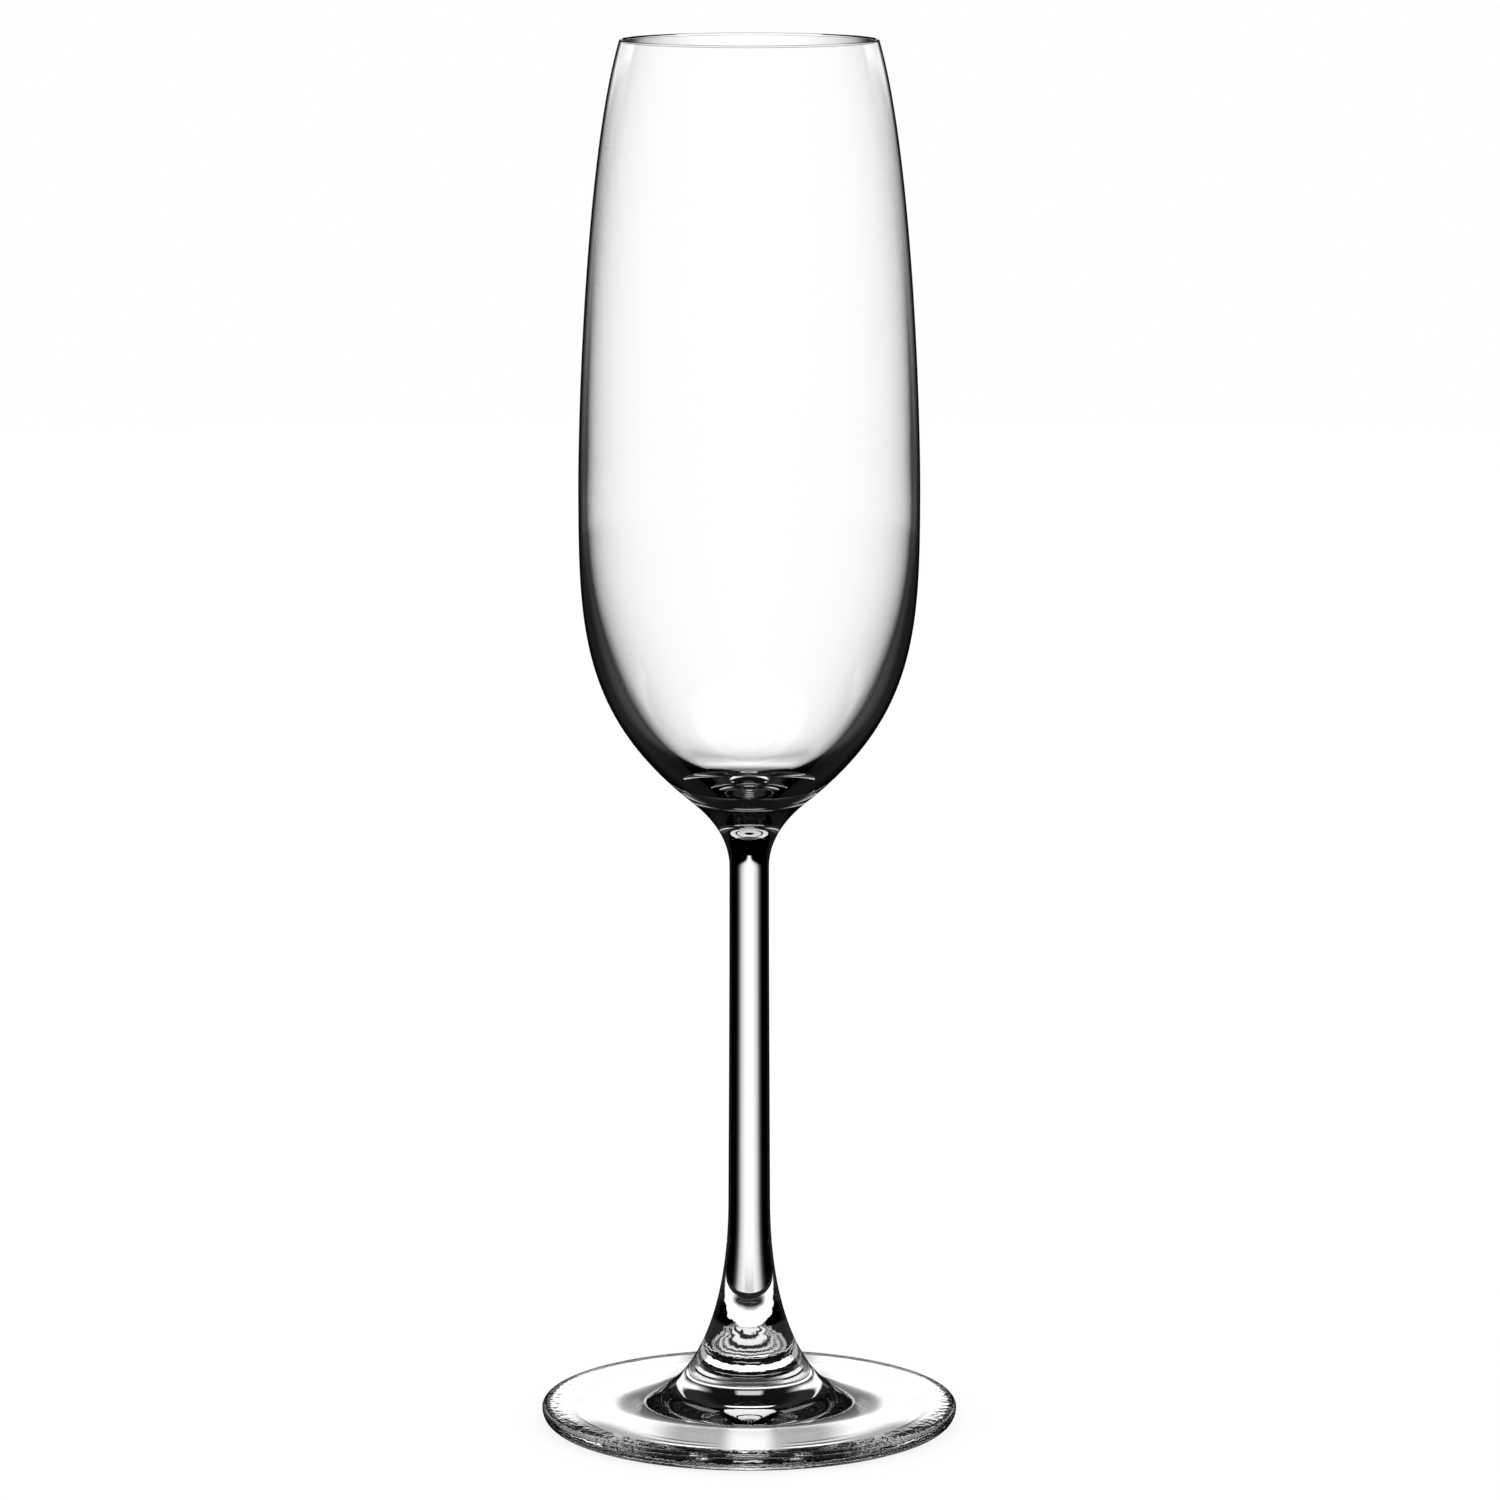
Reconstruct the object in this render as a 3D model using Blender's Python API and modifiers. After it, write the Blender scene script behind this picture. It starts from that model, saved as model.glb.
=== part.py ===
"""A champagne flute of clear crystal glass: a blown bowl, a drawn stem and a pressed foot, fused hot.

Metres, +Z up. The origin is on the flute's axis, on the table that the foot stands on.
"""

import math

import bpy
from mathutils import Vector
from mathutils.geometry import interpolate_bezier

# Bowl, from its seam with the stem up to the fire-polished rim
BOWL_HEIGHT = 0.1214
RIM_RADIUS = 0.0207
RIM_WALL = 0.0007
RIM_TAPER = math.radians(16.2)
BELLY_RADIUS = 0.0274
BELLY_HEIGHT = 0.0492
BELLY_WALL = 0.0013
INNER_BELLY_HEIGHT = 0.0442
FLOOR_THICKNESS = 0.0021

# Seam between the bowl and the stem, where the outline turns from convex to hollow
BOWL_SEAM_RADIUS = 0.0104
BOWL_SEAM_SLOPE = math.radians(50.0)

# Stem, from its seam with the foot up to its seam with the bowl
STEM_LENGTH = 0.0975
STEM_RADIUS = 0.0032
STEM_LOW_RADIUS = 0.0034
NECK_LENGTH = 0.0117
FLARE_LENGTH = 0.0313

# Seam between the stem and the foot, at the bottom of the stem's flare
FOOT_SEAM_RADIUS = 0.0131
FOOT_SEAM_SLOPE = math.radians(53.0)

# Foot, a disc that stands on a flat ring round a shallow kick
FOOT_RADIUS = 0.0339
FOOT_HEIGHT = 0.0055
SHOULDER_HEIGHT = 0.003
SHOULDER_ROUND = 0.0008
SHOULDER_SLOPE = math.radians(86.0)
UNDERCUT = 0.0019
RING_WIDTH = 0.0035
KICK_HEIGHT = 0.0013

# The gap that keeps the meshes of two fused pieces apart
SEAM_GAP = 0.0003

# How far each curved run holds the direction of its two ends, as shares of its chord
RIM_PULLS = (0.26, 0.18)
BELLY_PULLS = (0.41, 0.42)
FLOOR_PULLS = (0.6, 0.24)
NECK_PULLS = (0.15, 0.47)
SHAFT_PULLS = (0.33, 0.05)
FLARE_PULLS = (0.75, 0.03)
FOOT_TOP_PULLS = (0.1, 0.6)
KICK_PULLS = (0.3, 0.4)

# Facets: turns around the axis, and steps along each run of an outline
TURN_STEPS = 48
LONG_STEPS = 12
SHORT_STEPS = 8
ARC_STEPS = 4

STRAIGHT_DOWN = 0.0
INWARD = math.radians(-90.0)


def heading(angle):
    """A direction in the outline's plane: straight down at 0, turning outward as the angle grows."""
    return Vector((math.sin(angle), 0.0, -math.cos(angle)))


def point(radius, height):
    return Vector((radius, 0.0, height))


def curved_run(start, start_angle, end, end_angle, pulls, steps):
    """Points of one smooth stretch of outline that leaves and arrives at the given headings."""
    chord = (end - start).length
    leave = start + heading(start_angle) * chord * pulls[0]
    arrive = end - heading(end_angle) * chord * pulls[1]
    return interpolate_bezier(start, leave, arrive, end, steps + 1)


def elliptic_arc(centre, across, along, start_angle, end_angle, steps):
    """Points of an arc about a centre, with its half-width across and half-height along the axis."""
    angles = [start_angle + (end_angle - start_angle) * i / steps for i in range(steps + 1)]
    return [centre + Vector((across * math.cos(a), 0.0, along * math.sin(a))) for a in angles]


def joined(*runs):
    """Runs laid end to end as one outline, with each shared end kept once."""
    outline = list(runs[0])
    for run in runs[1:]:
        outline.extend(run[1:])
    return outline


def clear_glass(name, roughness):
    """Colourless crystal glass: it passes light, and its gloss follows how the piece was made."""
    material = bpy.data.materials.new(name)
    material.use_nodes = True
    shader = material.node_tree.nodes["Principled BSDF"]
    shader.inputs["Base Color"].default_value = (0.96, 0.97, 0.97, 1.0)
    shader.inputs["Metallic"].default_value = 0.0
    shader.inputs["Roughness"].default_value = roughness
    shader.inputs["IOR"].default_value = 1.52
    shader.inputs["Transmission Weight"].default_value = 1.0
    return material


def turned(name, outline, material, seat_height):
    """A solid of revolution: the outline, spun about the axis, standing at its seat."""
    mesh = bpy.data.meshes.new(name)
    mesh.from_pydata(outline, [(i, i + 1) for i in range(len(outline) - 1)], [])
    mesh.materials.append(material)
    piece = bpy.data.objects.new(name, mesh)
    piece.location.z = seat_height
    spin = piece.modifiers.new("Spin", "SCREW")
    spin.axis = "Z"
    spin.angle = math.tau
    spin.steps = TURN_STEPS
    spin.render_steps = TURN_STEPS
    spin.use_merge_vertices = True
    spin.merge_threshold = 0.00001
    spin.use_smooth_shade = True
    return piece


def bowl_outline():
    """Inside floor, up the inner wall, over the rim, down the outer wall and in across the seam."""
    lip_radius = RIM_WALL / 2
    lip_height = BOWL_HEIGHT - lip_radius
    inner_rim = point(RIM_RADIUS - RIM_WALL, lip_height)
    inner_belly = point(BELLY_RADIUS - BELLY_WALL, INNER_BELLY_HEIGHT)
    floor = point(0.0, FLOOR_THICKNESS)
    inner_top = curved_run(inner_rim, RIM_TAPER, inner_belly, STRAIGHT_DOWN, RIM_PULLS, LONG_STEPS)
    inner_base = curved_run(inner_belly, STRAIGHT_DOWN, floor, INWARD, FLOOR_PULLS, LONG_STEPS)
    inner_wall = joined(inner_top, inner_base)[::-1]

    lip_centre = point(RIM_RADIUS - lip_radius, lip_height)
    lip = elliptic_arc(lip_centre, lip_radius, lip_radius, math.pi, 0.0, ARC_STEPS)

    outer_rim = point(RIM_RADIUS, lip_height)
    belly = point(BELLY_RADIUS, BELLY_HEIGHT)
    seam = point(BOWL_SEAM_RADIUS, 0.0)
    outer_top = curved_run(outer_rim, RIM_TAPER, belly, STRAIGHT_DOWN, RIM_PULLS, LONG_STEPS)
    outer_base = curved_run(belly, STRAIGHT_DOWN, seam, -BOWL_SEAM_SLOPE, BELLY_PULLS, LONG_STEPS)
    return joined(inner_wall, lip, outer_top, outer_base, [seam, point(0.0, 0.0)])


def stem_outline():
    """Out across the upper seam, down the neck, shaft and flare, and in across the lower seam."""
    top = point(BOWL_SEAM_RADIUS, STEM_LENGTH)
    shaft_top = point(STEM_RADIUS, STEM_LENGTH - NECK_LENGTH)
    shaft_base = point(STEM_LOW_RADIUS, FLARE_LENGTH)
    base = point(FOOT_SEAM_RADIUS, 0.0)
    neck = curved_run(top, -BOWL_SEAM_SLOPE, shaft_top, STRAIGHT_DOWN, NECK_PULLS, SHORT_STEPS)
    shaft = curved_run(shaft_top, STRAIGHT_DOWN, shaft_base, STRAIGHT_DOWN, SHAFT_PULLS, ARC_STEPS)
    flare = curved_run(shaft_base, STRAIGHT_DOWN, base, FOOT_SEAM_SLOPE, FLARE_PULLS, LONG_STEPS)
    return joined([point(0.0, STEM_LENGTH), top], neck, shaft, flare, [base, point(0.0, 0.0)])


def foot_outline():
    """Out across the seam, over the top and the edge to the resting ring, and in under the kick."""
    seam = point(FOOT_SEAM_RADIUS, FOOT_HEIGHT)
    shoulder = point(FOOT_RADIUS - SHOULDER_ROUND, SHOULDER_HEIGHT)
    top = curved_run(seam, FOOT_SEAM_SLOPE, shoulder, SHOULDER_SLOPE, FOOT_TOP_PULLS, LONG_STEPS)

    edge_height = SHOULDER_HEIGHT - SHOULDER_ROUND
    shoulder_centre = point(FOOT_RADIUS - SHOULDER_ROUND, edge_height)
    upper_edge = elliptic_arc(
        shoulder_centre, SHOULDER_ROUND, SHOULDER_ROUND, math.pi / 2, 0.0, ARC_STEPS
    )
    ring_radius = FOOT_RADIUS - UNDERCUT
    under_centre = point(ring_radius, edge_height)
    lower_edge = elliptic_arc(under_centre, UNDERCUT, edge_height, 0.0, -math.pi / 2, ARC_STEPS)

    ring = [point(ring_radius, 0.0), point(ring_radius - RING_WIDTH, 0.0)]
    kick_slope = INWARD - 2.0 * math.atan2(KICK_HEIGHT, ring[1].x)
    kick = curved_run(ring[1], kick_slope, point(0.0, KICK_HEIGHT), INWARD, KICK_PULLS, SHORT_STEPS)
    return joined([point(0.0, FOOT_HEIGHT), seam], top, upper_edge, lower_edge, ring, kick)


def main():
    for leftover in list(bpy.data.objects):
        bpy.data.objects.remove(leftover)

    stem_seat = FOOT_HEIGHT + SEAM_GAP
    bowl_seat = stem_seat + STEM_LENGTH + SEAM_GAP
    pieces = [
        turned("foot", foot_outline(), clear_glass("pressed_glass", 0.02), 0.0),
        turned("stem", stem_outline(), clear_glass("drawn_glass", 0.01), stem_seat),
        turned("bowl", bowl_outline(), clear_glass("blown_glass", 0.0), bowl_seat),
    ]

    collection = bpy.data.collections.new("champagne_flute")
    bpy.context.scene.collection.children.link(collection)
    axis = bpy.data.objects.new("flute_axis", None)
    collection.objects.link(axis)
    for piece in pieces:
        collection.objects.link(piece)
        piece.parent = axis


main()
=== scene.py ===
"""A champagne flute of clear crystal: a blown bowl, a drawn stem and a pressed foot, fused into one glass.

The glass is sized in millimetres, which become metres as they reach a mesh. +Z is up, and it stands at 0.
"""

import math

import bpy
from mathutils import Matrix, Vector


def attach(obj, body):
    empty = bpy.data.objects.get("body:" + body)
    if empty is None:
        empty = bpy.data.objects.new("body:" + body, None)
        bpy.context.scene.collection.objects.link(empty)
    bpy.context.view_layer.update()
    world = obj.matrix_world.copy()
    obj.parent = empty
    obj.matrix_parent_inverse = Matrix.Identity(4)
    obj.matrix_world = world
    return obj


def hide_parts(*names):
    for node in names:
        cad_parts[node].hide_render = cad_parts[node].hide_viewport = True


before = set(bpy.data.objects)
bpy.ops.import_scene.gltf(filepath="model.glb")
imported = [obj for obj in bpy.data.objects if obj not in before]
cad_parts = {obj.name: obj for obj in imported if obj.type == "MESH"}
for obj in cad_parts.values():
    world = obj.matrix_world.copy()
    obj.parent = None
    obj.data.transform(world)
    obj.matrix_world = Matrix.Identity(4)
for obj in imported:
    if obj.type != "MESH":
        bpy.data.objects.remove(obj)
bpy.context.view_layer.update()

# Bowl: a tall tulip of lead-free crystal, blown in a mould. Its wall thins from a heavy base to the rim,
# which is cut, ground and melted round in a flame. The base is still soft when the stem is drawn on.
MM = 0.001
RIM_HEIGHT = 225.0
RIM_RADIUS = 20.7
RIM_WALL = 0.7
RIM_TAPER = math.radians(16.2)
BELLY_HEIGHT = 152.65
BELLY_RADIUS = 27.4
BELLY_WALL = 1.3
INNER_BELLY_HEIGHT = 147.65
INNER_FLOOR_HEIGHT = 105.55
BOWL_SEAM_HEIGHT = 103.45
BOWL_SEAM_RADIUS = 10.4
BOWL_SEAM_SLOPE = math.radians(50.0)

# How far each curved run holds the direction of its two ends, as shares of its chord
RIM_PULLS = (0.26, 0.18)
BELLY_PULLS = (0.41, 0.42)
FLOOR_PULLS = (0.6, 0.24)

DOWN, INWARD, OUTWARD = 0.0, math.radians(-90.0), math.radians(90.0)
TURN_STEPS = 192


def heading(angle):
    """A direction in the outline's plane: straight down at 0, turning outward as the angle grows."""
    return Vector((math.sin(angle), -math.cos(angle)))


def curved_run(start, end, pulls, steps):
    """A smooth stretch of outline between two points, each given as radius, height and heading."""
    first, last = Vector(start[:2]), Vector(end[:2])
    chord = (last - first).length
    leave = first + heading(start[2]) * chord * pulls[0]
    arrive = last - heading(end[2]) * chord * pulls[1]
    run = []
    for i in range(steps + 1):
        t = i / steps
        middle = leave.lerp(arrive, t)
        before = first.lerp(leave, t).lerp(middle, t)
        after = middle.lerp(arrive.lerp(last, t), t)
        spot, way = before.lerp(after, t), after - before
        run.append((spot.x, spot.y, math.atan2(way.x, -way.y)))
    return run


def rounded_run(centre, across, along, start, end, steps):
    """A stretch of ellipse about a centre, from one angle to another."""
    run = []
    for i in range(steps + 1):
        t = start + (end - start) * i / steps
        spot = (centre[0] + across * math.cos(t), centre[1] + along * math.sin(t))
        run.append((*spot, math.atan2(math.sin(t) * across, math.cos(t) * along)))
    return run


def backwards(run):
    """The same run from its end to its start."""
    return [(radius, height, angle + math.pi) for radius, height, angle in reversed(run)]


def turned_glass(name, runs, materials):
    """Spins the runs of an outline about the axis as one closed mesh, with the outline's true normals.

    Each run comes with the number of its material. A corner between two runs stays sharp.
    """
    turns = [math.tau * k / TURN_STEPS for k in range(TURN_STEPS)]
    points, faces, facings, fills, rings = [], [], [], [], {}

    def ring(radius, height):
        key = (round(radius, 6), round(height, 6))
        if key not in rings:
            start, count = len(points), 1 if key[0] == 0.0 else TURN_STEPS
            for t in turns[:count]:
                spot = Vector((radius * math.cos(t), radius * math.sin(t), height))
                points.append(spot * MM)
            rings[key] = [start + k % count for k in range(TURN_STEPS)]
        return rings[key]

    def facing(angle, k):
        t = turns[k]
        return Vector((math.cos(angle) * math.cos(t), math.cos(angle) * math.sin(t), math.sin(angle)))

    for run, material in runs:
        for (r0, z0, a0), (r1, z1, a1) in zip(run, run[1:]):
            upper, lower = ring(r0, z0), ring(r1, z1)
            for k in range(TURN_STEPS):
                n = (k + 1) % TURN_STEPS
                corners = [(upper[k], a0, k), (lower[k], a1, k), (lower[n], a1, n), (upper[n], a0, n)]
                if upper[k] == upper[n]:
                    corners.pop(3)
                if lower[k] == lower[n]:
                    corners.pop(2)
                faces.append([corner[0] for corner in corners])
                facings.extend(facing(angle, turn) for _, angle, turn in corners)
                fills.append(material)

    mesh = bpy.data.meshes.new(name)
    mesh.from_pydata(points, [], faces)
    for material in materials:
        mesh.materials.append(material)
    mesh.polygons.foreach_set("material_index", fills)
    mesh.polygons.foreach_set("use_smooth", [True] * len(faces))
    mesh.normals_split_custom_set(facings)
    piece = bpy.data.objects.new(name, mesh)
    bpy.context.scene.collection.objects.link(piece)
    return piece


def linear(colour):
    """An sRGB hex colour as the linear values that a shader takes."""
    shares = [int(colour[i : i + 2], 16) / 255 for i in (1, 3, 5)]
    bent = [s / 12.92 if s <= 0.04045 else ((s + 0.055) / 1.055) ** 2.4 for s in shares]
    return (*bent, 1.0)


def add_node(tree, kind, inputs, **settings):
    """Adds a node with its settings, and feeds its inputs from other nodes or from plain values."""
    node = tree.nodes.new(kind)
    for name, value in settings.items():
        setattr(node, name, value)
    for name, value in inputs.items():
        if isinstance(value, bpy.types.NodeSocket):
            tree.links.new(value, node.inputs[name])
        else:
            node.inputs[name].default_value = value
    return node


def new_material(name):
    """An empty material and its node tree."""
    material = bpy.data.materials.new(name)
    material.use_nodes = True
    material.node_tree.nodes.clear()
    return material, material.node_tree


# Mould-blown crystal: colourless and fire-bright, with the long soft waves that turning in the mould
# leaves in the wall. They bend the reflections a little without dulling them.
CRYSTAL_IOR = 1.52
WAVE_HIGH, WAVE_AROUND, WAVE_DEPTH = 9.0, 24.0, 0.004
blown_crystal, tree = new_material("blown_crystal")
place = add_node(tree, "ShaderNodeTexCoord", {})
stretch = add_node(
    tree,
    "ShaderNodeMapping",
    {
        "Vector": place.outputs["Object"],
        "Scale": (1 / (WAVE_AROUND * MM), 1 / (WAVE_AROUND * MM), 1 / (WAVE_HIGH * MM)),
    },
)
waves = add_node(
    tree, "ShaderNodeTexNoise", {"Vector": stretch.outputs["Vector"], "Scale": 1.0, "Detail": 1.0}
)
bend = add_node(
    tree,
    "ShaderNodeBump",
    {"Strength": 1.0, "Distance": WAVE_DEPTH * MM, "Height": waves.outputs["Fac"]},
)
shader = add_node(
    tree,
    "ShaderNodeBsdfPrincipled",
    {
        "Base Color": linear("#ffffff"),
        "Metallic": 0.0,
        "Roughness": 0.0,
        "IOR": CRYSTAL_IOR,
        "Transmission Weight": 1.0,
        "Normal": bend.outputs["Normal"],
    },
)
add_node(tree, "ShaderNodeOutputMaterial", {"Surface": shader.outputs["BSDF"]})

# A hot join: the two glasses have run into each other, so nothing shows where one ends.
fused_seam, tree = new_material("fused_seam")
through = add_node(tree, "ShaderNodeBsdfTransparent", {"Color": linear("#ffffff")})
add_node(tree, "ShaderNodeOutputMaterial", {"Surface": through.outputs["BSDF"]})

CLEAR, SEAM = 0, 1
lip_radius = RIM_WALL / 2
lip_height = RIM_HEIGHT - lip_radius
lip_centre = (RIM_RADIUS - lip_radius, lip_height)
inner_rim = (RIM_RADIUS - RIM_WALL, lip_height, RIM_TAPER)
inner_belly = (BELLY_RADIUS - BELLY_WALL, INNER_BELLY_HEIGHT, DOWN)
inner_floor = (0.0, INNER_FLOOR_HEIGHT, INWARD)
outer_rim = (RIM_RADIUS, lip_height, RIM_TAPER)
belly = (BELLY_RADIUS, BELLY_HEIGHT, DOWN)
bowl_base = (BOWL_SEAM_RADIUS, BOWL_SEAM_HEIGHT, -BOWL_SEAM_SLOPE)
bowl = turned_glass(
    "blown_bowl",
    [
        (backwards(curved_run(inner_belly, inner_floor, FLOOR_PULLS, steps=48)), CLEAR),
        (backwards(curved_run(inner_rim, inner_belly, RIM_PULLS, steps=40)), CLEAR),
        (rounded_run(lip_centre, lip_radius, lip_radius, math.pi, 0.0, steps=8), CLEAR),
        (curved_run(outer_rim, belly, RIM_PULLS, steps=40), CLEAR),
        (curved_run(belly, bowl_base, BELLY_PULLS, steps=44), CLEAR),
        ([(BOWL_SEAM_RADIUS, BOWL_SEAM_HEIGHT, INWARD), (0.0, BOWL_SEAM_HEIGHT, INWARD)], SEAM),
    ],
    [blown_crystal, fused_seam],
)
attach(bowl, "root")
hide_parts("bowl")

# Stem: a solid rod, drawn out of a gob of the same crystal set on the bowl's base. It swells into the
# bowl above and flares where it is pressed onto the foot below. Both ends are fused while hot.
STEM_RADIUS = 3.2
STEM_TOP = 91.75
STEM_LOW_RADIUS = 3.4
FLARE_TOP = 36.95
FOOT_SEAM_HEIGHT = 5.65
FOOT_SEAM_RADIUS = 13.1
FOOT_SEAM_SLOPE = math.radians(53.0)
NECK_PULLS = (0.15, 0.47)
SHAFT_PULLS = (0.33, 0.05)
FLARE_PULLS = (0.75, 0.03)

# Drawn crystal: as clear as the bowl, with lines where the flare was pulled. Real lines are too fine to
# show, so these are coarser and deeper. They fade out up the rod and in the smooth glass by the foot.
LINE_AROUND, LINE_LONG, LINE_DEPTH = 1.0, 5.0, 0.05
LINES_START, LINES_FULL = 9.0, 13.0
LINES_FADE, LINES_FAINT, FAINT = 16.0, 22.0, 0.01
drawn_crystal, tree = new_material("drawn_crystal")
place = add_node(tree, "ShaderNodeTexCoord", {})
stretch = add_node(
    tree,
    "ShaderNodeMapping",
    {
        "Vector": place.outputs["Object"],
        "Scale": (1 / (LINE_AROUND * MM), 1 / (LINE_AROUND * MM), 1 / (LINE_LONG * MM)),
    },
)
lines = add_node(
    tree, "ShaderNodeTexNoise", {"Vector": stretch.outputs["Vector"], "Scale": 1.0, "Detail": 1.0}
)
parts = add_node(tree, "ShaderNodeSeparateXYZ", {"Vector": place.outputs["Object"]})
up_the_rod = add_node(
    tree,
    "ShaderNodeMapRange",
    {
        "Value": parts.outputs["Z"],
        "From Min": LINES_FADE * MM,
        "From Max": LINES_FAINT * MM,
        "To Min": 1.0,
        "To Max": FAINT,
    },
)
by_the_foot = add_node(
    tree,
    "ShaderNodeMapRange",
    {
        "Value": parts.outputs["Z"],
        "From Min": LINES_START * MM,
        "From Max": LINES_FULL * MM,
        "To Min": 0.0,
        "To Max": 1.0,
    },
)
lines = add_node(
    tree,
    "ShaderNodeMath",
    {0: lines.outputs["Fac"], 1: up_the_rod.outputs["Result"]},
    operation="MULTIPLY",
)
lines = add_node(
    tree,
    "ShaderNodeMath",
    {0: lines.outputs["Value"], 1: by_the_foot.outputs["Result"]},
    operation="MULTIPLY",
)
bend = add_node(
    tree,
    "ShaderNodeBump",
    {"Strength": 1.0, "Distance": LINE_DEPTH * MM, "Height": lines.outputs["Value"]},
)
shader = add_node(
    tree,
    "ShaderNodeBsdfPrincipled",
    {
        "Base Color": linear("#ffffff"),
        "Metallic": 0.0,
        "Roughness": 0.0,
        "IOR": CRYSTAL_IOR,
        "Transmission Weight": 1.0,
        "Normal": bend.outputs["Normal"],
    },
)
add_node(tree, "ShaderNodeOutputMaterial", {"Surface": shader.outputs["BSDF"]})

shaft_top = (STEM_RADIUS, STEM_TOP, DOWN)
shaft_base = (STEM_LOW_RADIUS, FLARE_TOP, DOWN)
flare_base = (FOOT_SEAM_RADIUS, FOOT_SEAM_HEIGHT, FOOT_SEAM_SLOPE)
stem = turned_glass(
    "drawn_stem",
    [
        ([(0.0, BOWL_SEAM_HEIGHT, OUTWARD), (BOWL_SEAM_RADIUS, BOWL_SEAM_HEIGHT, OUTWARD)], SEAM),
        (curved_run(bowl_base, shaft_top, NECK_PULLS, steps=28), CLEAR),
        (curved_run(shaft_top, shaft_base, SHAFT_PULLS, steps=8), CLEAR),
        (curved_run(shaft_base, flare_base, FLARE_PULLS, steps=40), CLEAR),
        ([(FOOT_SEAM_RADIUS, FOOT_SEAM_HEIGHT, INWARD), (0.0, FOOT_SEAM_HEIGHT, INWARD)], SEAM),
    ],
    [drawn_crystal, fused_seam],
)
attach(stem, "root")
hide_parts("stem")

# Foot: a wide disc pressed from a second gob between boards while the stem is turned, then
# fire-polished. It stands on a narrow flat ring round a shallow kick, and its edge rolls under.
FOOT_RADIUS = 33.9
SHOULDER_HEIGHT = 3.0
SHOULDER_ROUND = 0.8
SHOULDER_SLOPE = math.radians(86.0)
UNDERCUT = 1.9
RING_WIDTH = 3.5
KICK_HEIGHT = 1.3
FOOT_TOP_PULLS = (0.1, 0.6)
KICK_PULLS = (0.3, 0.4)

# Pressed crystal: clear, with ripples from the board near the edge, which break what shows through it
# into beads of light. Real ripples are too fine to show, so these are coarser and deeper.
RIPPLE, RIPPLE_DEPTH = 1.2, 0.09
RIPPLE_START, RIPPLE_FULL = 30.5, 32.0
pressed_crystal, tree = new_material("pressed_crystal")
place = add_node(tree, "ShaderNodeTexCoord", {})
ripples = add_node(
    tree,
    "ShaderNodeTexNoise",
    {"Vector": place.outputs["Object"], "Scale": 1 / (RIPPLE * MM), "Detail": 1.0},
)
from_middle = add_node(tree, "ShaderNodeVectorMath", {0: place.outputs["Object"]}, operation="LENGTH")
at_edge = add_node(
    tree,
    "ShaderNodeMapRange",
    {
        "Value": from_middle.outputs["Value"],
        "From Min": RIPPLE_START * MM,
        "From Max": RIPPLE_FULL * MM,
        "To Min": 0.0,
        "To Max": 1.0,
    },
)
ripples = add_node(
    tree,
    "ShaderNodeMath",
    {0: ripples.outputs["Fac"], 1: at_edge.outputs["Result"]},
    operation="MULTIPLY",
)
bend = add_node(
    tree,
    "ShaderNodeBump",
    {"Strength": 1.0, "Distance": RIPPLE_DEPTH * MM, "Height": ripples.outputs["Value"]},
)
shader = add_node(
    tree,
    "ShaderNodeBsdfPrincipled",
    {
        "Base Color": linear("#ffffff"),
        "Metallic": 0.0,
        "Roughness": 0.0,
        "IOR": CRYSTAL_IOR,
        "Transmission Weight": 1.0,
        "Normal": bend.outputs["Normal"],
    },
)
add_node(tree, "ShaderNodeOutputMaterial", {"Surface": shader.outputs["BSDF"]})

edge_height = SHOULDER_HEIGHT - SHOULDER_ROUND
shoulder_radius = FOOT_RADIUS - SHOULDER_ROUND
shoulder_centre = (shoulder_radius, edge_height)
shoulder = (shoulder_radius, SHOULDER_HEIGHT, SHOULDER_SLOPE)
ring_radius = FOOT_RADIUS - UNDERCUT
kick_radius = ring_radius - RING_WIDTH
kick_edge = (kick_radius, 0.0, INWARD - 2.0 * math.atan2(KICK_HEIGHT, kick_radius))
kick_top = (0.0, KICK_HEIGHT, INWARD)
foot = turned_glass(
    "pressed_foot",
    [
        ([(0.0, FOOT_SEAM_HEIGHT, OUTWARD), (FOOT_SEAM_RADIUS, FOOT_SEAM_HEIGHT, OUTWARD)], SEAM),
        (curved_run(flare_base, shoulder, FOOT_TOP_PULLS, steps=36), CLEAR),
        (rounded_run(shoulder_centre, SHOULDER_ROUND, SHOULDER_ROUND, OUTWARD, 0.0, steps=6), CLEAR),
        (rounded_run((ring_radius, edge_height), UNDERCUT, edge_height, 0.0, INWARD, steps=12), CLEAR),
        ([(ring_radius, 0.0, INWARD), (kick_radius, 0.0, INWARD)], CLEAR),
        (curved_run(kick_edge, kick_top, KICK_PULLS, steps=24), CLEAR),
    ],
    [pressed_crystal, fused_seam],
)
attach(foot, "root")
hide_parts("foot")

# Camera: a long lens a little above the rim, so that the rim and the foot both show as narrow ellipses.
# Its place is in metres, and its tilt in degrees below the level.
SENSOR, LENS, FRAME_SHIFT = 36.0, 156.16, 0.0005
EYE_PLACE = (0.0, -1.0356, 0.2776)
EYE_TILT = 9.144
eye = bpy.data.cameras.new("eye")
eye.sensor_width = SENSOR
eye.lens = LENS
eye.shift_x = FRAME_SHIFT
camera = bpy.data.objects.new("eye", eye)
camera.location = EYE_PLACE
camera.rotation_euler = (math.radians(90.0 - EYE_TILT), 0.0, 0.0)
bpy.context.scene.collection.objects.link(camera)
bpy.context.scene.camera = camera

# Light panel: a wide white diffuser of acrylic sheet on an arm from the camera, so that every side of the
# glass is seen against it. It is brightest in the middle and dark far to the sides. It is sized in metres,
# and places on it are shares of its distance from the glass.
PANEL_DISTANCE = 1.6
PANEL_REACH = 2.6
PANEL_STEPS = 192
PANEL_LEVEL = 1.2

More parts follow.
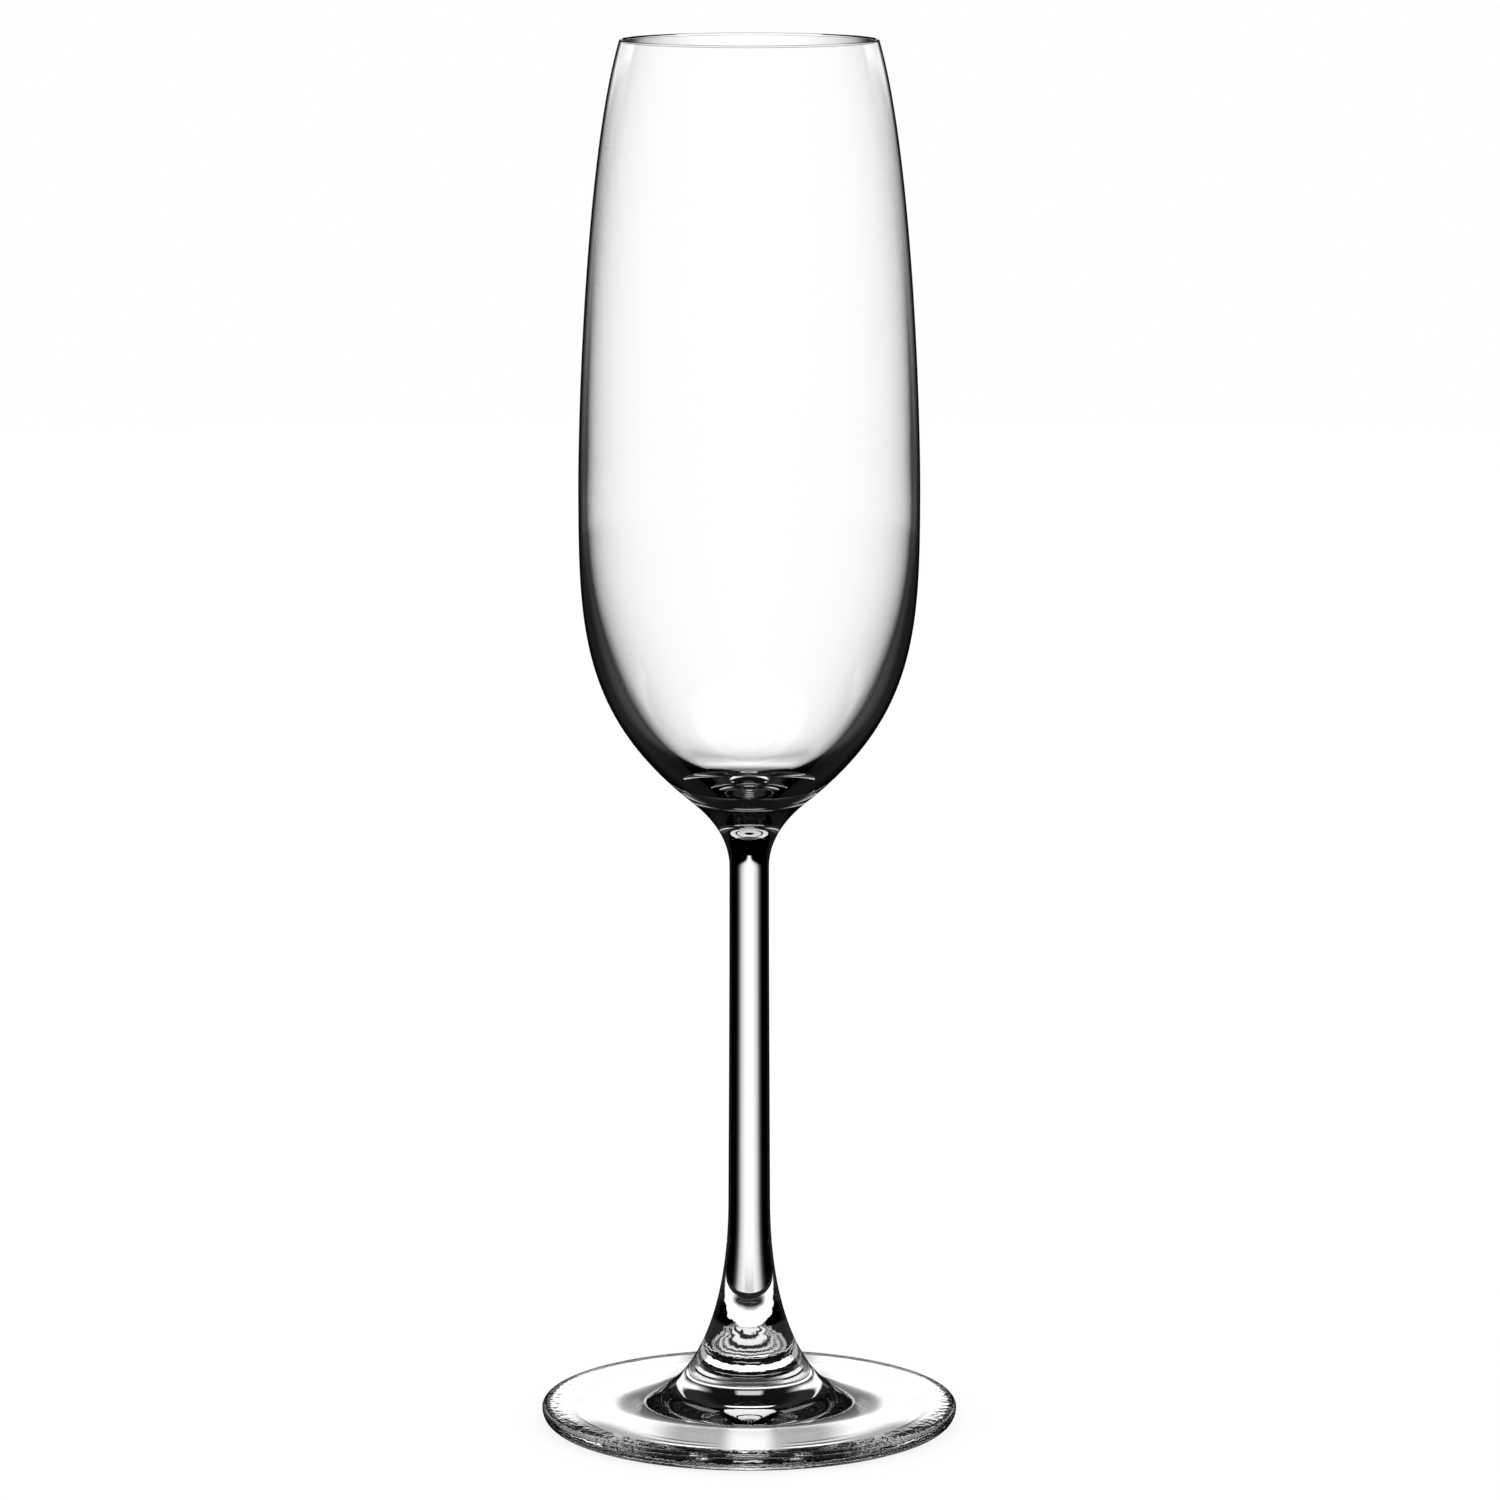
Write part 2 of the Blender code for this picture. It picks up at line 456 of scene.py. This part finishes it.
# How the level falls away to the sides, in widths, and how wide it is at each height behind bowl and stem
FALL_OFF = [
    (0.0, 1.0), (0.15, 0.985), (0.3, 0.95), (0.45, 0.89), (0.6, 0.8), (0.75, 0.7),
    (0.95, 0.56), (1.1, 0.42), (1.25, 0.25), (1.42, 0.08), (1.7, 0.017), (2.0, 0.0),
]
BOWL_SPREAD = [(0.03, 0.26), (0.055, 0.28), (0.08, 0.7), (0.12, 1.3)]
STEM_SPREAD = [(-0.03, 0.28), (0.03, 0.25), (0.07, 0.18), (0.11, 0.09), (0.16, 0.05)]

# How the level changes from the panel's foot to its head, and a dimmer patch low in the middle
BOWL_UPRIGHT = [
    (-1.2, 0.2), (-1.0, 0.33), (-0.75, 0.8), (-0.6, 1.0), (0.21, 1.0), (0.23, 0.6),
    (0.26, 0.15), (0.31, 0.02), (0.36, 0.0),
]
STEM_UPRIGHT = [(-1.2, 0.2), (-1.0, 0.33), (-0.75, 0.8), (-0.6, 1.0), (0.2, 1.0), (0.22, 0.0)]
SAG = [
    (-0.76, 1.0), (-0.75, 1.1), (-0.6, 1.1), (-0.5, 0.8), (-0.4, 0.58), (-0.3, 0.86), (-0.2, 1.0)
]
SAG_SIDE = (0.08, 0.16)

# What light that has turned in the glass finds: a small window, a high strip and the pale sides
TURNED_DARK = 0.006
WINDOW_LEVEL = 0.7
WINDOW_FOOT, WINDOW_HEAD, WINDOW_SIDE = (0.15, 0.2), (0.33, 0.38), (0.08, 0.12)
STRIP_LEVEL = 1.6
STRIP_FOOT, STRIP_HEAD, STRIP_SIDE = (0.95, 1.02), (1.2, 1.25), (0.3, 0.4)
SIDES = [
    (-0.6, 0.06), (-0.1, 0.035), (0.04, 0.055), (0.1, 0.26), (0.2, 0.55), (0.26, 1.35),
    (0.33, 1.35), (0.38, 0.02),
]
SIDES_FROM = (0.3, 0.62)
SIDES_RISE, SIDES_RISE_FROM = 0.3, 0.5


def blend(value, low, high):
    """Rises smoothly from 0 to 1 as the value goes from low to high."""
    t = min(1.0, max(0.0, (value - low) / (high - low)))
    return t * t * (3.0 - 2.0 * t)


def near(value, soft_edge):
    """1 near the middle and 0 beyond a soft edge on either side, given by where it starts and ends."""
    return 1.0 - blend(abs(value), *soft_edge)


def along(stops, value):
    """The level at a value, on straight lines between stops and flat beyond them."""
    value = max(value, stops[0][0])
    for (v0, level0), (v1, level1) in zip(stops, stops[1:]):
        if value <= v1:
            return level0 + (level1 - level0) * (value - v0) / (v1 - v0)
    return stops[-1][1]


def panel_glow(across, up, upright, spread):
    """How bright the panel is at a place on it, as seen straight through the bowl or the stem."""
    sag = 1.0 + (along(SAG, up) - 1.0) * near(across, SAG_SIDE)
    return PANEL_LEVEL * sag * along(upright, up) * along(FALL_OFF, abs(across) / along(spread, up))


def turned_glow(across, up):
    """How bright the panel is to light that has turned in the glass."""
    window = blend(up, *WINDOW_FOOT) * (1.0 - blend(up, *WINDOW_HEAD)) * near(across, WINDOW_SIDE)
    strip = blend(up, *STRIP_FOOT) * (1.0 - blend(up, *STRIP_HEAD)) * near(across, STRIP_SIDE)
    lifted = up - SIDES_RISE * max(0.0, abs(across) - SIDES_RISE_FROM)
    sides = along(SIDES, lifted) * blend(abs(across), *SIDES_FROM)
    return TURNED_DARK + WINDOW_LEVEL * window + STRIP_LEVEL * strip + sides


spots = [PANEL_REACH * (2.0 * i / PANEL_STEPS - 1.0) for i in range(PANEL_STEPS + 1)]
points = [(x, y, 0.0) for y in spots for x in spots]
row = PANEL_STEPS + 1
faces = [
    (j * row + i, j * row + i + 1, (j + 1) * row + i + 1, (j + 1) * row + i)
    for j in range(PANEL_STEPS)
    for i in range(PANEL_STEPS)
]
mesh = bpy.data.meshes.new("light_panel")
mesh.from_pydata(points, [], faces)
places = [(x / PANEL_DISTANCE, y / PANEL_DISTANCE) for x, y, _ in points]
for name, levels in [
    ("bowl", [panel_glow(across, up, BOWL_UPRIGHT, BOWL_SPREAD) for across, up in places]),
    ("stem", [panel_glow(across, up, STEM_UPRIGHT, STEM_SPREAD) for across, up in places]),
    ("turned", [turned_glow(across, up) for across, up in places]),
]:
    mesh.attributes.new(name, "FLOAT", "POINT").data.foreach_set("value", levels)
panel = bpy.data.objects.new("light_panel", mesh)
bpy.context.scene.collection.objects.link(panel)
glass_middle = Vector((0.0, 0.0, RIM_HEIGHT / 2 * MM))
panel.parent = camera
panel.location = (0.0, 0.0, -((camera.location - glass_middle).length + PANEL_DISTANCE))
panel.visible_camera = False
panel.visible_diffuse = False
panel.visible_shadow = False

# Lit acrylic: an even glow. It shows one level through the stem or a single wall, another through both
# walls of the bowl, and a third, mostly dark, to light that has turned in the glass on its way.
STEM_PASSES, BOWL_PASSES = 2.0, 4.0
lit_diffuser, tree = new_material("lit_diffuser")
path = add_node(tree, "ShaderNodeLightPath", {})
by_bowl = add_node(tree, "ShaderNodeAttribute", {}, attribute_name="bowl")
by_stem = add_node(tree, "ShaderNodeAttribute", {}, attribute_name="stem")
by_turns = add_node(tree, "ShaderNodeAttribute", {}, attribute_name="turned")
straight = add_node(
    tree,
    "ShaderNodeMapRange",
    {
        "Value": path.outputs["Transmission Depth"],
        "From Min": STEM_PASSES,
        "From Max": BOWL_PASSES,
        "To Min": by_stem.outputs["Fac"],
        "To Max": by_bowl.outputs["Fac"],
    },
)
shown = add_node(
    tree,
    "ShaderNodeMapRange",
    {
        "Value": path.outputs["Glossy Depth"],
        "To Min": straight.outputs["Result"],
        "To Max": by_turns.outputs["Fac"],
    },
)
light = add_node(
    tree,
    "ShaderNodeEmission",
    {"Color": linear("#ffffff"), "Strength": shown.outputs["Result"]},
)
add_node(tree, "ShaderNodeOutputMaterial", {"Surface": light.outputs["Emission"]})
mesh.materials.append(lit_diffuser)

# Top light: two round lamps, one inside the other, hung over the glass behind silk. They show only as
# small marks in the bowl's base, the neck and the foot. Their sizes are in metres.
LAMP_HEIGHT, LAMP_LEVEL = 1.5, 1.0
LAMP_RINGS = [(0.2, 0.58), (0.66, 1.25)]


def ring_faces(inner, outer):
    """The faces between two rings of points, each given by the number of its first point."""
    steps = [(k, (k + 1) % TURN_STEPS) for k in range(TURN_STEPS)]
    return [(inner + k, outer + k, outer + n, inner + n) for k, n in steps]


circle = [math.tau * k / TURN_STEPS for k in range(TURN_STEPS)]
points = [
    (radius * math.cos(t), radius * math.sin(t), LAMP_HEIGHT)
    for ring in LAMP_RINGS
    for radius in ring
    for t in circle
]
faces = ring_faces(0, TURN_STEPS) + ring_faces(2 * TURN_STEPS, 3 * TURN_STEPS)
mesh = bpy.data.meshes.new("top_light")
mesh.from_pydata(points, [], faces)
lamp = bpy.data.objects.new("top_light", mesh)
bpy.context.scene.collection.objects.link(lamp)
lamp.visible_camera = False
lamp.visible_diffuse = False
lamp.visible_shadow = False

# Lit silk: an even glow, shown to light that has gone into the glass and turned there once at most.
lit_silk, tree = new_material("lit_silk")
path = add_node(tree, "ShaderNodeLightPath", {})
turned_once = add_node(
    tree,
    "ShaderNodeMapRange",
    {
        "Value": path.outputs["Glossy Depth"],
        "From Min": 1.0,
        "From Max": 2.0,
        "To Min": LAMP_LEVEL,
        "To Max": 0.0,
    },
)
shown = add_node(
    tree,
    "ShaderNodeMapRange",
    {
        "Value": path.outputs["Transmission Depth"],
        "To Min": 0.0,
        "To Max": turned_once.outputs["Result"],
    },
)
light = add_node(
    tree,
    "ShaderNodeEmission",
    {"Color": linear("#ffffff"), "Strength": shown.outputs["Result"]},
)
add_node(tree, "ShaderNodeOutputMaterial", {"Surface": light.outputs["Emission"]})
mesh.materials.append(lit_silk)

# Floor: a plain round board of white-painted plywood that takes the glass's soft shadow. It lies a hair
# under the foot. The glass sees the lit disc of the next section in its place.
FLOOR_RADIUS = 1500.0
FLOOR_DROP = 0.03
points = [(FLOOR_RADIUS * math.cos(t) * MM, FLOOR_RADIUS * math.sin(t) * MM, 0.0) for t in circle]
mesh = bpy.data.meshes.new("white_board")
mesh.from_pydata(points, [], [range(TURN_STEPS)])
floor = bpy.data.objects.new("white_board", mesh)
floor.location.z = -FLOOR_DROP * MM
bpy.context.scene.collection.objects.link(floor)
floor.visible_glossy = False
floor.visible_transmission = False

# Matt white paint under even light: white, with only a faint shadow. Its own glow keeps the board as
# white as the room behind it, and the grey of the paint sets how far a shadow darkens it.
BOARD_GLOW = 0.82
matt_board, tree = new_material("matt_board")
paint = add_node(tree, "ShaderNodeBsdfDiffuse", {"Color": linear("#7c7c7c")})
fill = add_node(tree, "ShaderNodeEmission", {"Color": linear("#ffffff"), "Strength": BOARD_GLOW})
board = add_node(tree, "ShaderNodeAddShader", {0: paint.outputs["BSDF"], 1: fill.outputs["Emission"]})
add_node(tree, "ShaderNodeOutputMaterial", {"Surface": board.outputs["Shader"]})
mesh.materials.append(matt_board)

# Gathered light: a glowing disc on the board, a painted pool of light with painted shadow, which stands for
# the light that the glass gathers under its foot and the shade beside and behind the stem. It turns with
# the panel about the upright axis. Places on it are in millimetres from the middle, x across the view and y
# away from the camera.
POOL_RADIUS, POOL_STEP, POOL_DROP = 40.0, 0.25, 0.01
POOL_LEVEL, POOL_DARK = 1.9, 0.02

# Seen straight through the foot: a painted shadow beside the stem, out to a rounded oblong, in shares of
# its size
BESIDE = [
    (0.3, 0.03), (0.5, 0.08), (0.77, 0.13), (0.87, 0.17), (0.95, 0.25), (1.0, 0.42), (1.06, 1.0)
]
BESIDE_WIDE, BESIDE_DEEP, BESIDE_BACK, BESIDE_POWER = 20.6, 11.5, 0.5, 2.5

# Painted shade: grey towards the front, less so in the middle and paler to the sides
FRONT_PAINTED_SHADE, FRONT_FROM = 0.66, (7.5, 15.0)
FRONT_MIDDLE, MIDDLE_SIDE = 0.4, (2.0, 5.0)
PALER, PALER_FROM, PALER_TO = 0.7, (11.0, 17.0), (24.0, 27.5)

# Painted light and shade: bright and dark bands along the front edge, a painted shade behind the stem, and
# painted shade under the rolled edge
EDGE_BANDS = [
    (24.5, 1.0), (25.2, 0.15), (25.7, 1.6), (26.2, 1.6), (26.6, 0.1), (27.1, 0.1), (27.4, 2.6),
    (28.0, 2.6), (28.4, 0.1),
]
BANDS_FROM, BANDS_MIDDLE, BANDS_SIDE = (3.0, 9.0), (4.0, 8.0), (12.0, 18.0)
BEHIND, BEHIND_SIDE = (23.5, 28.5), (7.0, 15.0)
EDGE = (32.5, 33.6)

# Seen after one turn in the glass: painted reflections, nested bright bands behind the stem that show in
# the flare
TURNED = [
    (0.0, 0.95), (5.0, 0.95), (5.3, 0.03), (7.1, 0.03), (7.5, 0.95), (10.1, 0.95), (10.4, 0.03),
    (12.2, 0.03), (12.6, 0.9), (13.4, 0.9), (13.7, 0.05), (14.9, 0.05), (15.3, 0.95), (16.2, 0.95),
    (16.6, 0.04), (18.5, 0.04), (19.5, 0.6), (22.0, 0.6), (22.5, 0.02),
]
TURNED_CURVE = 0.9
TURNED_MIDDLE, TURNED_MIDDLE_FROM, TURNED_FROM, TURNED_FULL = 4.0, -1.0, 1.0, 3.0

# Seen after two or three turns, and after more: painted reflections, bright far behind the stem, in a bar
# and two patches, each given by its middle, its half depth and its half width
TWICE_TURNED = [(20.5, 0.02), (22.0, 1.5), (37.0, 1.5), (38.0, 0.02)]
TWICE_DIM, TWICE_SIDE = 0.7, (7.0, 9.0)
TWICE_PATCH, TWICE_PATCH_LEVEL = (16.8, 1.4, 3.0), 1.2
OFTEN_TURNED = [(0.0, 0.9), (2.4, 0.9), (3.2, 0.02), (40.0, 0.02)]
OFTEN_PATCH = (31.5, 5.0, 8.0)
OFTEN_GAP, OFTEN_GAP_LEVEL = (1.8, 3.2), 0.04
PATCH_DEEP_EDGE, PATCH_WIDE_EDGE = 0.5, 1.5


def straight_glow(x, y):
    """How bright the disc is as seen straight through the foot."""
    span = math.hypot(x, y)
    wide, deep = abs(x / BESIDE_WIDE), abs((y - BESIDE_BACK) / BESIDE_DEEP)
    # Painted shadow beside the stem
    beside = along(BESIDE, (wide**BESIDE_POWER + deep**BESIDE_POWER) ** (1.0 / BESIDE_POWER))
    paler = PALER * blend(abs(x), *PALER_FROM) * (1.0 - blend(span, *PALER_TO))
    middle = FRONT_MIDDLE + (1.0 - FRONT_MIDDLE) * blend(abs(x), *MIDDLE_SIDE)
    # Painted shade towards the front
    front = 1.0 - FRONT_PAINTED_SHADE * blend(-y, *FRONT_FROM) * middle * (1.0 - paler)
    # Painted light and shade in bands at the front edge, behind the stem and under the rolled edge
    banded = blend(-y, *BANDS_FROM) * blend(abs(x), *BANDS_MIDDLE) * near(x, BANDS_SIDE)
    bands = 1.0 + (along(EDGE_BANDS, span) - 1.0) * banded
    behind = 1.0 - blend(y, *BEHIND) * near(x, BEHIND_SIDE)
    return POOL_DARK + POOL_LEVEL * beside * front * bands * behind * near(span, EDGE)


def once_turned_glow(x, y):
    """How bright the disc is after one turn: bands that bow away to the sides, and only behind the stem."""
    span = math.hypot(x, y)
    start = TURNED_MIDDLE_FROM if span < TURNED_MIDDLE else TURNED_FROM
    return along(TURNED, span + TURNED_CURVE * x**2) * blend(y, start, TURNED_FULL)


def patch(x, y, middle, deep, wide):
    """A soft-edged painted bright patch behind the stem."""
    deep_edge = (deep - PATCH_DEEP_EDGE, deep + PATCH_DEEP_EDGE)
    return near(y - middle, deep_edge) * near(x, (wide, wide + PATCH_WIDE_EDGE))


def twice_turned_glow(x, y):
    """How bright the disc is after two or three turns: a bar that dims to the sides, and a patch."""
    bar = along(TWICE_TURNED, y) * (1.0 - TWICE_DIM * blend(abs(x), *TWICE_SIDE))
    return bar + TWICE_PATCH_LEVEL * patch(x, y, *TWICE_PATCH)


def often_turned_glow(x, y):
    """How bright the disc is after more turns: a spot under the stem, and a patch with a dark middle."""
    gap = OFTEN_GAP_LEVEL + (1.0 - OFTEN_GAP_LEVEL) * blend(abs(x), *OFTEN_GAP)
    return along(OFTEN_TURNED, math.hypot(x, y)) + patch(x, y, *OFTEN_PATCH) * gap


rings = int(POOL_RADIUS / POOL_STEP)
places = [(0.0, 0.0)]
for i in range(1, rings + 1):
    places.extend((POOL_STEP * i * math.cos(t), POOL_STEP * i * math.sin(t)) for t in circle)
faces = [(0, 1 + k, 1 + (k + 1) % TURN_STEPS) for k in range(TURN_STEPS)]
for i in range(rings - 1):
    faces.extend(ring_faces(1 + i * TURN_STEPS, 1 + (i + 1) * TURN_STEPS))
mesh = bpy.data.meshes.new("gathered_light")
mesh.from_pydata([(x * MM, y * MM, 0.0) for x, y in places], [], faces)
for name, glow in [
    ("straight", straight_glow),
    ("turned", once_turned_glow),
    ("twice", twice_turned_glow),
    ("often", often_turned_glow),
]:
    levels = [glow(x, y) for x, y in places]
    mesh.attributes.new(name, "FLOAT", "POINT").data.foreach_set("value", levels)
pool = bpy.data.objects.new("gathered_light", mesh)
pool.location.z = -POOL_DROP * MM
bpy.context.scene.collection.objects.link(pool)
pool.visible_camera = False
pool.visible_diffuse = False
pool.visible_shadow = False
turn = pool.constraints.new("COPY_ROTATION")
turn.target = camera
turn.use_x = turn.use_y = False

# Gathered light: painted light and shadow, a glow that only the glass shows, at the level for the number of
# turns that the light has made in it.
ONCE, TWICE, OFTEN = 1, 2, 4
gathered_light, tree = new_material("gathered_light")
path = add_node(tree, "ShaderNodeLightPath", {})
shown = add_node(tree, "ShaderNodeAttribute", {}, attribute_name="straight").outputs["Fac"]
for turns, name in [(ONCE, "turned"), (TWICE, "twice"), (OFTEN, "often")]:
    level = add_node(tree, "ShaderNodeAttribute", {}, attribute_name=name)
    shown = add_node(
        tree,
        "ShaderNodeMapRange",
        {
            "Value": path.outputs["Glossy Depth"],
            "From Min": turns - 1.0,
            "From Max": float(turns),
            "To Min": shown,
            "To Max": level.outputs["Fac"],
        },
    ).outputs["Result"]
light = add_node(tree, "ShaderNodeEmission", {"Color": linear("#ffffff"), "Strength": shown})
add_node(tree, "ShaderNodeOutputMaterial", {"Surface": light.outputs["Emission"]})
mesh.materials.append(gathered_light)

# Room: even white light on the board and behind the glass. It is dark to the glass itself, which sees
# only the panel, the lamps and the lit disc.
room = bpy.data.worlds.new("studio")
room.use_nodes = True
tree = room.node_tree
tree.nodes.clear()
path = add_node(tree, "ShaderNodeLightPath", {})
by_glass = add_node(
    tree,
    "ShaderNodeMath",
    {0: path.outputs["Is Glossy Ray"], 1: path.outputs["Is Transmission Ray"]},
    operation="MAXIMUM",
)
strength = add_node(tree, "ShaderNodeMath", {0: 1.0, 1: by_glass.outputs["Value"]}, operation="SUBTRACT")
air = add_node(
    tree, "ShaderNodeBackground", {"Color": linear("#ffffff"), "Strength": strength.outputs["Value"]}
)
add_node(tree, "ShaderNodeOutputWorld", {"Surface": air.outputs["Background"]})
bpy.context.scene.world = room

# Light turns many times in solid glass before it comes out, so the paths are long.
bpy.context.scene.view_settings.view_transform = "Standard"
bpy.context.scene.cycles.max_bounces = 24
bpy.context.scene.cycles.transmission_bounces = 24
bpy.context.scene.cycles.glossy_bounces = 16
bpy.context.scene.cycles.transparent_max_bounces = 32
